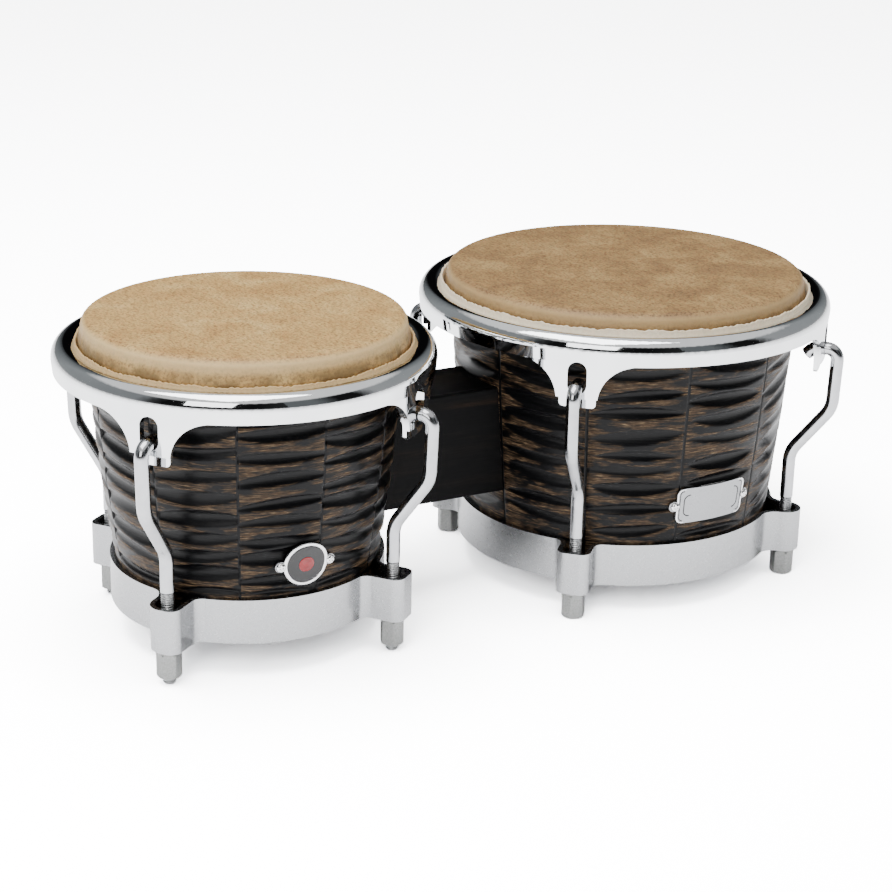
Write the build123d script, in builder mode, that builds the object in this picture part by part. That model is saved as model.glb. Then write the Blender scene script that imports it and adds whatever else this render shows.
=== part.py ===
from build123d import *
import os
from dataclasses import dataclass
from math import atan2, copysign, cos, degrees, pi, radians, sin, sqrt

# A pair of bongo drums: the small drum is the macho, the large one the hembra.
# Millimetres, +Z up, X from the small drum to the large one. The origin is on the floor, under the
# middle of the whole pair. Both drums stand on the ends of their tuning rods and nuts.

# Shell: staves glued side by side and turned on a lathe.
shell_wall = 10.0
glue_line = 0.1             # gap left for the glue between two staves
bearing_round = 3.5         # radius of the edge that the skin bears on
bearing_slope = 3.0         # how far the edge falls away towards the inside

# Skin: rawhide, wetted and pulled down over the bearing edge.
skin_t = 1.6
shoulder_slack = 0.4        # play between the skin and the side of the bearing edge
collar_flare = 1.9          # how much wider the collar is at its hem than at the shoulder
collar_h = 13.0             # from the top of the skin down to the full width of the collar
tuck_gap = 0.3              # between the collar and the turned-up hem
tuck_t = 1.4
tuck_lip = 4.6              # height of the trimmed hem above the rim's inner edge
tuck_slit = 0.6             # opening where the lap meets the collar
flesh_hoop_d = 6.2
hoop_fit = 0.05             # between the flesh hoop and the lapped skin
hoop_clearance = 1.0        # between the lapped skin and the underside of the rim

# Rim: pressed steel ring with four slotted ears, each backed by a welded plate.
rim_t = 2.5
rim_w = 13.1                # from the inner edge to the widest point
rim_h = 15.6                # from the skirt's lower edge to the top of the crown
rim_tuck_gap = 0.1
skirt_taper = 0.7           # how far the skirt's lower edge is drawn in
skirt_h = 7.0               # straight part of the skirt
crown_from_edge = 6.2       # from the inner edge to the top of the crown
inner_edge_drop = 1.6       # inner edge below the top of the crown
inner_edge_lean = 0.4       # how far the inner edge's cut face leans outwards
crown_mid = 0.45            # share of the way from the inner edge to the crown's top
crown_mid_drop = 0.28       # share of the drop that is left there
ear_half_w = 12.0
ear_flare_r = 22.5
ear_h = 20.5
ear_slot_w = 11.2
ear_slot_above = 1.1        # the slot's top above the skirt's lower edge
plate_t = 2.2
plate_h = 26.5
plate_inset = 1.2
plate_top_gap = 2.0
plate_gap = 0.05
plate_corner_r = 2.5

# Tuning rods: 5/16 in steel, hooked over the ears and cranked in to the bottom ring.
rod_d = 7.94
thread_d = 7.5
thread_pitch = 25.4 / 18
hook_below_edge = 13.8      # axis of the hook's top, below the skirt's lower edge
hook_bend_r = 6.5
hook_reach = 6.3            # from the ear's outer face in to the hook's second bend
hook_tip = 6.6
hook_tip_angle = 45
hook_seat_gap = 0.3         # between the hook and the bottom of the slot
leg_standoff = 8.0          # from the ear's outer face to the rod's axis
leg_lean = 1.2
upper_bend_drop = 37.5      # below the hook's top
lower_bend_drop = 68.0
rod_bend_r = 18.0
thread_above_ring = 7.0
rod_tip_chamfer = 1.2
rod_count = 4

# Nuts and washers under the bottom ring.
nut_af = 12.7
nut_h = 15.6
nut_fit = 0.05
nut_round = 1.8
nut_corner_trim = 0.2       # turned off the hexagon's corners
washer_d = 16.0
washer_t = 1.6
washer_fit = 0.45

# Bottom ring: cast aluminium, with a floor under the shell and a pocket round each rod.
ring_wall = 2.8
ring_h = 25.8
ring_floor = 3.2
ring_fit = 0.15
ring_ledge = 10.5           # width of the floor under the shell
pocket_half_w = 10.0
pocket_reach = 9.5          # from the rod's axis to the pocket's outer face
pocket_corner_r = 6.0
pocket_fillet_r = 10.0
rod_hole_fit = 0.6
pick_margin = 0.1           # for picking the corners that lie on the ring's circle

# Centre block: hardwood, bolted to both shells from the inside.
drum_gap = 68.0             # between the two shells at the block's middle height
block_z = 97.0
block_h = 66.5
block_depth = 47.0
block_edge_r = 1.5
block_fit = 0.1
bolt_d = 7.94
bolt_spacing = 36.0
bolt_head_h = 5.3
bolt_washer_d = 20.0
bolt_washer_t = 1.6
bolt_fit = 0.3
bolt_seat_gap = 0.1         # between the flat washer's rim and the curved wall
insert_d = 12.0
insert_l = 20.0
insert_recess = 1.0
insert_fit = 0.08

# Badges: small metal plates screwed to the front of each shell.
badge_t = 1.4
badge_gap = 0.3
lug_r = 3.2
badge_screw_d = 2.8
badge_screw_l = 8.0
badge_head_d = 5.4
badge_head_h = 1.3
badge_head_taper = 30
badge_screw_fit = 0.3
badge_head_lift = 0.5       # play under the flat head over the curved plate


@dataclass
class Drum:
    name: str
    bearing_r: float        # shell's outer radius at the bearing edge
    belly_r: float          # shell's outer radius at the centre block
    foot_r: float           # shell's outer radius where it stands in the bottom ring
    shell_h: float
    staves: int
    stave_turn: float
    rim_drop: float         # from the top of the skin to the skirt's lower edge
    rod_standoff: float     # from the bottom ring's outer face to the rod's axis
    rod_turn: float
    tip_below_nut: float    # negative where the rod ends inside its nut
    badge_angle: float
    badge_z: float
    badge_w: float
    badge_h: float
    badge_corner_r: float
    side: int               # +1 where the centre block is on the drum's +X side
    x: float = 0.0

    def derive(self):
        self.nut_z = max(self.tip_below_nut, 0.0)
        self.tip_z = self.nut_z - self.tip_below_nut
        self.washer_z = self.nut_z + nut_h
        self.ring_z = self.washer_z + washer_t
        self.shell_z = self.ring_z + ring_floor
        self.ring_top = self.ring_z + ring_h
        self.shell_top = self.shell_z + self.shell_h
        self.head_z = self.shell_top + skin_t
        self.collar_r = self.bearing_r + shoulder_slack + skin_t + collar_flare
        self.tuck_r = self.collar_r + tuck_gap
        self.rim_in_r = self.tuck_r + tuck_t + rim_tuck_gap
        self.rim_r = self.rim_in_r + rim_w
        self.edge_z = self.head_z - self.rim_drop
        self.ear_r = self.rim_r - skirt_taper
        self.hoop_r = self.tuck_r + tuck_t + flesh_hoop_d / 2
        self.hoop_z = self.edge_z + rim_h - rim_t - tuck_t - flesh_hoop_d / 2 - hoop_clearance
        self.hook_z = self.edge_z - hook_below_edge
        self.leg_r = self.ear_r + leg_standoff
        self.ring_in_r = self.foot_r + ring_fit
        self.ring_r = self.ring_in_r + ring_wall
        self.rod_r = self.ring_r + self.rod_standoff
        self.rod_angles = [45 + 360 / rod_count * k + self.rod_turn for k in range(rod_count)]

    def outer(self, z, inset=0.0):
        """Radius at height z of the shell's outer face, an arc through foot, belly and bearing edge."""
        points = [(self.foot_r, self.ring_top), (self.belly_r, block_z), (self.bearing_r, self.shell_top)]
        centre, arc_r = circle_through(*points)
        side = copysign(1, self.belly_r - centre[0])
        return centre[0] + side * sqrt(arc_r**2 - (z - centre[1]) ** 2) - inset

    @property
    def axis(self):
        return Axis((self.x, 0, 0), (0, 0, 1))

    def floor(self, z=0.0):
        """Horizontal plane centred on the drum's axis."""
        return Plane(origin=(self.x, 0, z))

    def radial(self, angle=0.0):
        """Upright plane through the drum's axis: x is the radius, y the height."""
        a = radians(angle)
        return Plane(origin=(self.x, 0, 0), x_dir=(cos(a), sin(a), 0), z_dir=(sin(a), -cos(a), 0))

    def facing(self, angle):
        """Upright plane through the drum's axis whose normal points out at the angle: y is the height."""
        a = radians(angle)
        return Plane(origin=(self.x, 0, 0), x_dir=(-sin(a), cos(a), 0), z_dir=(cos(a), sin(a), 0))

    def at_rod(self, angle, z):
        """Horizontal plane centred on one rod's axis, turned with the rod."""
        a = radians(angle)
        centre = (self.x + self.rod_r * cos(a), self.rod_r * sin(a), z)
        return Plane(origin=centre, x_dir=(cos(a), sin(a), 0), z_dir=(0, 0, 1))

    def bolt_plane(self, z, distance):
        """Upright plane across the block's axis, at a distance from the drum's, facing the block."""
        return Plane(origin=(self.x + self.side * distance, 0, z), x_dir=(0, 1, 0), z_dir=(self.side, 0, 0))


def circle_through(a, b, c):
    """Centre and radius of the circle through three points."""
    d = 2 * (a[0] * (b[1] - c[1]) + b[0] * (c[1] - a[1]) + c[0] * (a[1] - b[1]))
    aa, bb, cc = (p[0] ** 2 + p[1] ** 2 for p in (a, b, c))
    x = (aa * (b[1] - c[1]) + bb * (c[1] - a[1]) + cc * (a[1] - b[1])) / d
    y = (aa * (c[0] - b[0]) + bb * (a[0] - c[0]) + cc * (b[0] - a[0])) / d
    return (x, y), sqrt((a[0] - x) ** 2 + (a[1] - y) ** 2)


macho = Drum(
    name="macho", bearing_r=89.4, belly_r=83.1, foot_r=76.4, shell_h=162.3, staves=11, stave_turn=243.4,
    rim_drop=30.1, rod_standoff=13.1, rod_turn=-6.4, tip_below_nut=4.3,
    badge_angle=270.0, badge_z=66.5, badge_w=26.0, badge_h=26.0, badge_corner_r=12.9, side=1,
)
hembra = Drum(
    name="hembra", bearing_r=107.0, belly_r=100.9, foot_r=95.8, shell_h=165.6, staves=11, stave_turn=194.0,
    rim_drop=25.9, rod_standoff=9.9, rod_turn=0.5, tip_below_nut=-1.2,
    badge_angle=272.5, badge_z=67.0, badge_w=48.0, badge_h=22.5, badge_corner_r=4.0, side=-1,
)
for drum in (macho, hembra):
    drum.derive()
span = macho.belly_r + drum_gap + hembra.belly_r
macho.x = (macho.rim_r - hembra.rim_r - span) / 2
hembra.x = macho.x + span
bolt_heights = (block_z - bolt_spacing / 2, block_z + bolt_spacing / 2)


def shell(drum):
    """Staves, with a square foot in the ring, a rounded bearing edge and two holes for the block's bolts."""
    foot_z, top = drum.shell_z, drum.shell_top
    outer_mid = (drum.belly_r, block_z)
    inner_mid = (drum.belly_r - shell_wall, block_z)
    edge_z = top - bearing_round
    edge_r = drum.outer(edge_z)
    round_r = edge_r - bearing_round
    inner_top = (drum.bearing_r - shell_wall, top - bearing_slope)
    pitch = 360 / drum.staves
    gap = degrees(glue_line / drum.belly_r)
    with BuildPart() as stave:
        with BuildSketch(drum.radial(drum.stave_turn)):
            with BuildLine():
                Polyline((drum.foot_r - shell_wall, foot_z), (drum.foot_r, foot_z), (drum.foot_r, drum.ring_top))
                ThreePointArc((drum.foot_r, drum.ring_top), outer_mid, (edge_r, edge_z))
                CenterArc((round_r, edge_z), bearing_round, 0, 90)
                Line((round_r, top), inner_top)
                ThreePointArc(inner_top, inner_mid, (drum.foot_r - shell_wall, drum.ring_top))
                Line((drum.foot_r - shell_wall, drum.ring_top), (drum.foot_r - shell_wall, foot_z))
            make_face()
        revolve(axis=drum.axis, revolution_arc=pitch - gap)
    turns = [stave.part.rotate(drum.axis, k * pitch) for k in range(drum.staves)]
    with BuildPart() as shell:
        add(turns)
        for z in bolt_heights:
            with BuildSketch(drum.bolt_plane(z, 0)):
                Circle(bolt_d / 2 + bolt_fit)
            extrude(amount=drum.bearing_r, mode=Mode.SUBTRACT)
    return shell.part


def skin(drum):
    """Disc, rounded shoulder and flared collar. The wrapped hem is the skin tuck."""
    centre = (drum.bearing_r - bearing_round, drum.head_z - skin_t - bearing_round - shoulder_slack)
    inner_r = bearing_round + shoulder_slack
    outer_r = inner_r + skin_t
    hem_z = drum.hoop_z
    wide_z = drum.head_z - collar_h
    with BuildPart() as skin:
        with BuildSketch(drum.radial()):
            with BuildLine():
                Line((0, drum.head_z), (centre[0], drum.head_z))
                CenterArc(centre, outer_r, 0, 90)
                Polyline(
                    (centre[0] + outer_r, centre[1]),
                    (drum.collar_r, wide_z),
                    (drum.collar_r, hem_z),
                    (drum.collar_r - skin_t, hem_z),
                    (drum.collar_r - skin_t, wide_z),
                    (centre[0] + inner_r, centre[1]),
                )
                CenterArc(centre, inner_r, 0, 90)
                Polyline((centre[0], drum.head_z - skin_t), (0, drum.head_z - skin_t), (0, drum.head_z))
            make_face()
        revolve(axis=drum.axis)
    return skin.part


def flesh_hoop(drum):
    """Round steel hoop that the skin's hem is lapped round."""
    with BuildPart() as flesh_hoop:
        with BuildSketch(drum.radial()):
            with Locations((drum.hoop_r, drum.hoop_z)):
                Circle(flesh_hoop_d / 2 - hoop_fit)
        revolve(axis=drum.axis)
    return flesh_hoop.part


def skin_tuck(drum):
    """Hem of the skin, lapped round the flesh hoop and trimmed off just above the rim's inner edge."""
    lip_top = drum.edge_z + rim_h - inner_edge_drop + tuck_lip
    lip_z = drum.hoop_z
    with BuildPart() as skin_tuck:
        with BuildSketch(drum.radial()):
            with Locations((drum.hoop_r, drum.hoop_z)):
                Circle(flesh_hoop_d / 2 + tuck_t)
            with Locations((drum.tuck_r, lip_z)):
                Rectangle(tuck_t, lip_top - lip_z, align=(Align.MIN, Align.MIN))
            with Locations((drum.hoop_r, drum.hoop_z)):
                Circle(flesh_hoop_d / 2, mode=Mode.SUBTRACT)
            with Locations((drum.tuck_r - tuck_gap, drum.hoop_z)):
                Rectangle(tuck_gap + 2 * tuck_t, tuck_slit, align=(Align.MIN, Align.MAX), mode=Mode.SUBTRACT)
        revolve(axis=drum.axis)
    return skin_tuck.part


def ear_face(drum, inset, top, bottom):
    """An ear's outline between two heights: a stem that sweeps out into the skirt in two quarter circles."""
    half_top = ear_half_w + ear_flare_r
    with Locations((0, drum.edge_z + top)):
        Rectangle(2 * half_top, top + bottom, align=(Align.CENTER, Align.MAX))
    with Locations((half_top, drum.edge_z - ear_flare_r), (-half_top, drum.edge_z - ear_flare_r)):
        Circle(ear_flare_r + inset, mode=Mode.SUBTRACT)


def ear_slot(drum, mode=Mode.ADD):
    """Round-ended slot that the hook passes through and hangs in."""
    top = drum.edge_z + ear_slot_above
    bottom = drum.hook_z - rod_d / 2 - hook_seat_gap
    with Locations((0, (top + bottom) / 2)):
        SlotOverall(top - bottom, ear_slot_w, rotation=90, mode=mode)


def rim(drum):
    """Crown and skirt, with an ear at each rod that flares into the skirt and is slotted for the hook."""
    low = (drum.ear_r, drum.edge_z)
    wide = (drum.rim_r, drum.edge_z + skirt_h)
    crown = (drum.rim_in_r + crown_from_edge, drum.edge_z + rim_h)
    inner = (drum.rim_in_r, crown[1] - inner_edge_drop)
    under = (inner[0] + inner_edge_lean, inner[1] - rim_t)
    mid = (inner[0] + crown_from_edge * crown_mid, crown[1] - inner_edge_drop * crown_mid_drop)
    with BuildPart() as rim:
        for angle in drum.rod_angles:
            with BuildSketch(drum.facing(angle)):
                ear_face(drum, 0, skirt_h / 2, ear_h)
            extrude(amount=drum.rim_r)
        with BuildSketch(drum.radial()):
            with Locations((drum.ear_r, drum.edge_z + skirt_h)):
                Rectangle(rim_t, ear_h + 2 * skirt_h, align=(Align.MAX, Align.MAX))
        revolve(axis=drum.axis, mode=Mode.INTERSECT)
        with BuildSketch(drum.radial()):
            with BuildLine():
                Line(low, wide)
                EllipticalCenterArc((crown[0], wide[1]), wide[0] - crown[0], crown[1] - wide[1], arc_size=90)
                ThreePointArc(crown, mid, inner)
                Line(inner, under)
                ThreePointArc(under, (mid[0], mid[1] - rim_t), (crown[0], crown[1] - rim_t))
                EllipticalCenterArc(
                    (crown[0], wide[1]), wide[0] - crown[0] - rim_t, crown[1] - wide[1] - rim_t, arc_size=90
                )
                Polyline((wide[0] - rim_t, wide[1]), (low[0] - rim_t, low[1]), low)
            make_face()
        revolve(axis=drum.axis)
        for angle in drum.rod_angles:
            with BuildSketch(drum.facing(angle)):
                ear_slot(drum)
            extrude(amount=drum.rim_r + rim_t, mode=Mode.SUBTRACT)
    return rim.part


def ear_plates(drum):
    """Four steel plates welded behind the ears, a little longer than them at the bottom."""
    half_w = ear_half_w - plate_inset
    stem_h = plate_h - ear_flare_r / 2
    with BuildPart() as ear_plates:
        for angle in drum.rod_angles:
            with BuildSketch(drum.facing(angle)):
                ear_face(drum, plate_inset, -plate_top_gap, ear_flare_r)
                with Locations((0, drum.edge_z - plate_h + stem_h / 2)):
                    RectangleRounded(2 * half_w, stem_h, plate_corner_r)
                ear_slot(drum, Mode.SUBTRACT)
            extrude(amount=drum.rim_r)
        with BuildSketch(drum.radial()):
            with Locations((drum.ear_r - rim_t - plate_gap, drum.edge_z)):
                Rectangle(plate_t, 2 * plate_h, align=(Align.MAX, Align.CENTER))
        revolve(axis=drum.axis, mode=Mode.INTERSECT)
    return ear_plates.part


def rod(drum, angle):
    """Round rod: hook over the ear, outer leg, crank in to the ring and threaded end."""
    tip_a = radians(hook_tip_angle)
    bend = (drum.ear_r - hook_reach, drum.hook_z)
    tip = (bend[0] - hook_tip * cos(tip_a), bend[1] - hook_tip * sin(tip_a))
    thread_top = drum.ring_top + thread_above_ring
    with BuildPart() as rod:
        with BuildLine(drum.radial(angle)) as route:
            FilletPolyline(
                tip,
                bend,
                (drum.leg_r, drum.hook_z),
                (drum.leg_r - leg_lean, drum.hook_z - upper_bend_drop),
                (drum.rod_r, drum.hook_z - lower_bend_drop),
                (drum.rod_r, thread_top),
                radius=[hook_bend_r, hook_bend_r, rod_bend_r, rod_bend_r],
            )
        with BuildSketch(Plane(origin=route.line @ 0, z_dir=route.line % 0)):
            Circle(rod_d / 2)
        sweep(path=route.line)
        with BuildSketch(drum.at_rod(angle, thread_top)):
            Circle(thread_d / 2)
        extrude(amount=drum.tip_z - thread_top)
        chamfer(rod.faces().sort_by(Axis.Z)[0].edges(), rod_tip_chamfer)
    return rod.part


def nut(drum, angle):
    """Long hexagon nut with its corners rounded off at both ends."""
    corner_r = nut_af / 2 / cos(pi / 6)
    with BuildPart() as nut:
        with BuildSketch(drum.at_rod(angle, drum.nut_z)):
            Circle(corner_r - nut_corner_trim)
        extrude(amount=nut_h)
        fillet(nut.edges().filter_by(GeomType.CIRCLE), nut_round)
        with BuildSketch(drum.at_rod(angle, drum.nut_z)):
            RegularPolygon(corner_r, 6)
            Circle(thread_d / 2 + nut_fit, mode=Mode.SUBTRACT)
        extrude(amount=nut_h, mode=Mode.INTERSECT)
    return nut.part


def washers(drum):
    """Four flat washers between the nuts and the bottom ring."""
    with BuildPart() as washers:
        for angle in drum.rod_angles:
            with BuildSketch(drum.at_rod(angle, drum.washer_z)):
                Circle(washer_d / 2)
                Circle(thread_d / 2 + washer_fit, mode=Mode.SUBTRACT)
            extrude(amount=washer_t)
    return washers.part


def bottom_ring(drum):
    """Cast ring: outer wall with pockets, and a floor with a hole for each rod and one big opening."""
    reach = drum.rod_r + pocket_reach
    with BuildSketch(drum.floor(drum.ring_z)) as plan:
        Circle(drum.ring_r)
        for angle in drum.rod_angles:
            with Locations(Location((0, 0, 0), (0, 0, angle))):
                with Locations((reach / 2, 0)):
                    Rectangle(reach, 2 * pocket_half_w)
        fillet(plan.vertices().filter_by(lambda v: radius_of(drum, v) > drum.rod_r), pocket_corner_r)
        fillet(plan.vertices().filter_by(lambda v: radius_of(drum, v) < drum.ring_r + pick_margin), pocket_fillet_r)
    with BuildPart() as bottom_ring:
        with BuildSketch(drum.floor(drum.ring_z)):
            add(plan.sketch_local)
        extrude(amount=ring_h)
        with BuildSketch(drum.floor(drum.shell_z)):
            add(plan.sketch_local)
            offset(amount=-ring_wall, mode=Mode.REPLACE)
        extrude(amount=ring_h, mode=Mode.SUBTRACT)
        with BuildSketch(drum.floor(drum.ring_z)):
            Circle(drum.ring_in_r - ring_ledge)
            with PolarLocations(drum.rod_r, rod_count, drum.rod_angles[0]):
                Circle(thread_d / 2 + rod_hole_fit)
        extrude(amount=ring_floor, mode=Mode.SUBTRACT)
    return bottom_ring.part


def radius_of(drum, vertex):
    """Distance of a vertex from the drum's axis."""
    return sqrt((vertex.X - drum.x) ** 2 + vertex.Y**2)


def shell_blank(drum, clearance):
    """Solid of the shell's outer face, grown by a clearance."""
    ends = (drum.ring_top, drum.shell_top)
    with BuildPart() as shell_blank:
        with BuildSketch(drum.radial()):
            with BuildLine():
                low, high = ((drum.outer(z, -clearance), z) for z in ends)
                ThreePointArc(low, (drum.outer(block_z, -clearance), block_z), high)
                Polyline(high, (0, ends[1]), (0, ends[0]), low)
            make_face()
        revolve(axis=drum.axis)
    return shell_blank.part


def centre_block():
    """Block between the drums, hollowed at both ends to seat on the shells, with holes for the inserts."""
    middle = (macho.x + macho.belly_r + drum_gap / 2, 0, block_z)
    with BuildPart() as centre_block:
        with BuildSketch(Plane(origin=(macho.x, 0, block_z), x_dir=(0, 1, 0), z_dir=(1, 0, 0))):
            Rectangle(block_depth, block_h)
        extrude(amount=hembra.x - macho.x)
        fillet(centre_block.edges().filter_by(Axis.X), block_edge_r)
        for drum in (macho, hembra):
            add(shell_blank(drum, block_fit), mode=Mode.SUBTRACT)
            for z in bolt_heights:
                with BuildSketch(drum.bolt_plane(z, 0)):
                    Circle(insert_d / 2)
                extrude(amount=drum.outer(z) + insert_recess + insert_l, mode=Mode.SUBTRACT)
    return centre_block.part


def block_inserts():
    """Four threaded steel inserts pressed into the block."""
    with BuildPart() as block_inserts:
        for drum in (macho, hembra):
            for z in bolt_heights:
                with BuildSketch(drum.bolt_plane(z, drum.outer(z) + insert_recess)):
                    Circle(insert_d / 2)
                    Circle(bolt_d / 2 + insert_fit, mode=Mode.SUBTRACT)
                extrude(amount=insert_l)
    return block_inserts.part


def washer_seat(drum, z):
    """Distance from the drum's axis to the flat washer that sits inside the curved, tapered wall."""
    narrow_r = drum.outer(z - bolt_washer_d / 2, shell_wall)
    return sqrt(narrow_r**2 - (bolt_washer_d / 2) ** 2) - bolt_washer_t - bolt_seat_gap


def block_bolts(drum):
    """Two hexagon bolts from inside the shell into the block's inserts."""
    with BuildPart() as block_bolts:
        for z in bolt_heights:
            seat = washer_seat(drum, z)
            with BuildSketch(drum.bolt_plane(z, seat)):
                RegularPolygon(nut_af / 2 / cos(pi / 6), 6)
            extrude(amount=-bolt_head_h)
            with BuildSketch(drum.bolt_plane(z, seat)):
                Circle(bolt_d / 2)
            extrude(amount=drum.outer(z) + insert_recess + insert_l - seat)
    return block_bolts.part


def block_bolt_washers(drum):
    """Flat washers under the bolt heads."""
    with BuildPart() as block_bolt_washers:
        for z in bolt_heights:
            with BuildSketch(drum.bolt_plane(z, washer_seat(drum, z))):
                Circle(bolt_washer_d / 2)
                Circle(bolt_d / 2 + bolt_fit, mode=Mode.SUBTRACT)
            extrude(amount=bolt_washer_t)
    return block_bolt_washers.part


def lug_offset(drum):
    """Distance of a badge's screws from its middle."""
    return drum.badge_w / 2 + lug_r / 2


def screw_facings(drum):
    """Planes through the drum's axis that face out through the badge's two screws."""
    turn = degrees(atan2(lug_offset(drum), drum.outer(drum.badge_z)))
    return [drum.facing(drum.badge_angle - turn), drum.facing(drum.badge_angle + turn)]


def badge(drum):
    """Thin plate bent to the shell, with a lug and a screw hole at each side."""
    low_z = drum.badge_z - drum.badge_h
    high_z = drum.badge_z + drum.badge_h
    near, far = badge_gap, badge_gap + badge_t
    with BuildPart() as badge:
        with BuildSketch(drum.facing(drum.badge_angle)):
            with Locations((0, drum.badge_z)):
                RectangleRounded(drum.badge_w, drum.badge_h, drum.badge_corner_r)
                with Locations((-lug_offset(drum), 0), (lug_offset(drum), 0)):
                    Circle(lug_r)
        extrude(amount=drum.bearing_r + shell_wall)
        with BuildSketch(drum.radial()):
            with BuildLine():
                ThreePointArc(*((drum.outer(z, -far), z) for z in (low_z, drum.badge_z, high_z)))
                Line((drum.outer(high_z, -far), high_z), (drum.outer(high_z, -near), high_z))
                ThreePointArc(*((drum.outer(z, -near), z) for z in (high_z, drum.badge_z, low_z)))
                Line((drum.outer(low_z, -near), low_z), (drum.outer(low_z, -far), low_z))
            make_face()
        revolve(axis=drum.axis, mode=Mode.INTERSECT)
        for facing in screw_facings(drum):
            with BuildSketch(facing):
                with Locations((0, drum.badge_z)):
                    Circle(badge_screw_d / 2 + badge_screw_fit)
            extrude(amount=drum.bearing_r + shell_wall, mode=Mode.SUBTRACT)
    return badge.part


def badge_screws(drum):
    """Two round-headed wood screws through the badge's lugs."""
    seat_r = drum.outer(drum.badge_z) + badge_gap + badge_t + badge_head_lift
    with BuildPart() as badge_screws:
        for facing in screw_facings(drum):
            with BuildSketch(facing.offset(seat_r)):
                with Locations((0, drum.badge_z)):
                    Circle(badge_head_d / 2)
            extrude(amount=badge_head_h, taper=badge_head_taper)
            with BuildSketch(facing.offset(seat_r)):
                with Locations((0, drum.badge_z)):
                    Circle(badge_screw_d / 2)
            extrude(amount=-badge_screw_l)
    return badge_screws.part


pieces = {"centre_block": centre_block(), "block_inserts": block_inserts()}
for drum in (macho, hembra):
    makers = (
        shell, skin, skin_tuck, flesh_hoop, rim, ear_plates, washers,
        bottom_ring, block_bolts, block_bolt_washers, badge, badge_screws,
    )
    for make in makers:
        pieces[f"{drum.name}_{make.__name__}"] = make(drum)
    for number, angle in enumerate(drum.rod_angles, start=1):
        pieces[f"{drum.name}_rod_{number}"] = rod(drum, angle)
        pieces[f"{drum.name}_nut_{number}"] = nut(drum, angle)

os.makedirs("parts", exist_ok=True)
for name, part in pieces.items():
    part.label = name
    export_step(part, f"parts/{name}.step")
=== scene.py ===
import bmesh
import bpy
import numpy as np
from math import atan2, cos, pi, radians, sin
from mathutils import Matrix, Vector


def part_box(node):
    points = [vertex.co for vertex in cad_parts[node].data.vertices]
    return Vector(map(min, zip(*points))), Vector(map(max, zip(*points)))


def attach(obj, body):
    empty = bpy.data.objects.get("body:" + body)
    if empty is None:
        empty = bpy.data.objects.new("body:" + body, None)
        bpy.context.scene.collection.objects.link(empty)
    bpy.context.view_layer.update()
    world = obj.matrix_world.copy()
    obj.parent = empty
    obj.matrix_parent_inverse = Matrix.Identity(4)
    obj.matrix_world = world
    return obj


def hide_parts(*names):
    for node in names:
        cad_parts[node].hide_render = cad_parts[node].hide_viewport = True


# Bongo drums: a small drum, the macho, and a large one, the hembra, joined by a wooden block.
# Metres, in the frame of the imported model. Sizes are written in millimetres times MM.
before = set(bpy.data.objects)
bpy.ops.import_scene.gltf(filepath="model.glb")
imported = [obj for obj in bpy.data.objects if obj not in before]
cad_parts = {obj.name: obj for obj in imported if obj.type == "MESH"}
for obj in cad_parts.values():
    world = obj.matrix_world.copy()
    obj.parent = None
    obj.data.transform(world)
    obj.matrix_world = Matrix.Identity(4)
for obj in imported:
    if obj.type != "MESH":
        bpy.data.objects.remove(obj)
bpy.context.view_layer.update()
MM = 0.001


# Studio: a white floor and a white sky with a belt of grey and black screens round it, which draw the
# dark lines that make chrome look like chrome. Two large soft lamps, overhead and in front, light it.
def srgb(code):
    """Linear colour of an sRGB hex value."""
    parts = [int(code[i : i + 2], 16) / 255 for i in (1, 3, 5)]
    return (*(c / 12.92 if c <= 0.04045 else ((c + 0.055) / 1.055) ** 2.4 for c in parts), 1.0)


def add(tree, kind, inputs=None, **settings):
    """Add a node, with its settings, and its inputs as values or as sockets to link."""
    node = tree.nodes.new(kind)
    for name, value in settings.items():
        setattr(node, name, value)
    for key, value in (inputs or {}).items():
        if isinstance(value, bpy.types.NodeSocket):
            tree.links.new(value, node.inputs[key])
        else:
            node.inputs[key].default_value = value
    return node


def mixed(tree, share, first, second, blend="MIX"):
    """Mix of two colours by a share from 0 to 1."""
    inputs = {0: share, 6: first, 7: second}
    return add(tree, "ShaderNodeMix", inputs, data_type="RGBA", blend_type=blend).outputs[2]


def ramp(tree, factor, stops):
    """Colour ramp from a list of (place, sRGB hex) stops."""
    node = add(tree, "ShaderNodeValToRGB", {"Fac": factor})
    while len(node.color_ramp.elements) < len(stops):
        node.color_ramp.elements.new(0.5)
    for element, (place, code) in zip(node.color_ramp.elements, stops):
        element.position = place
        element.color = srgb(code)
    return node.outputs["Color"]


world = bpy.data.worlds.new("studio")
bpy.context.scene.world = world
world.use_nodes = True
sky = world.node_tree
sky.nodes.clear()
heading = add(sky, "ShaderNodeTexCoord").outputs["Generated"]
axes = add(sky, "ShaderNodeSeparateXYZ", {"Vector": heading}).outputs
bearing = add(sky, "ShaderNodeMath", {0: axes["X"], 1: axes["Y"]}, operation="ARCTAN2").outputs[0]
full_turn = {"Value": bearing, "From Min": -pi, "From Max": pi}
around_sky = add(sky, "ShaderNodeMapRange", full_turn).outputs["Result"]
screens = ramp(sky, around_sky, [
    (0.0, "#2a2b2c"), (0.05, "#141415"), (0.2, "#141415"), (0.22, "#3a3b3c"), (0.25, "#8b8e90"),
    (0.29, "#8b8e90"), (0.44, "#9a9ea0"), (0.52, "#6a6e70"), (0.55, "#0b0b0c"), (0.6, "#0b0b0c"),
    (0.63, "#6a6e70"), (0.7, "#9a9ea0"), (0.84, "#a4a6a8"), (0.87, "#1a1a1b"), (0.91, "#1a1a1b"),
    (0.95, "#6a6e70"),
])
open_sky = ramp(sky, axes["Z"], [
    (0.0, "#ffffff"), (0.02, "#ffffff"), (0.06, "#202020"), (0.2, "#000000"), (0.58, "#000000"),
    (0.68, "#ffffff"),
])
light = mixed(sky, open_sky, screens, srgb("#ffffff"))
looked_at = add(sky, "ShaderNodeLightPath").outputs["Is Camera Ray"]
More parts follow.
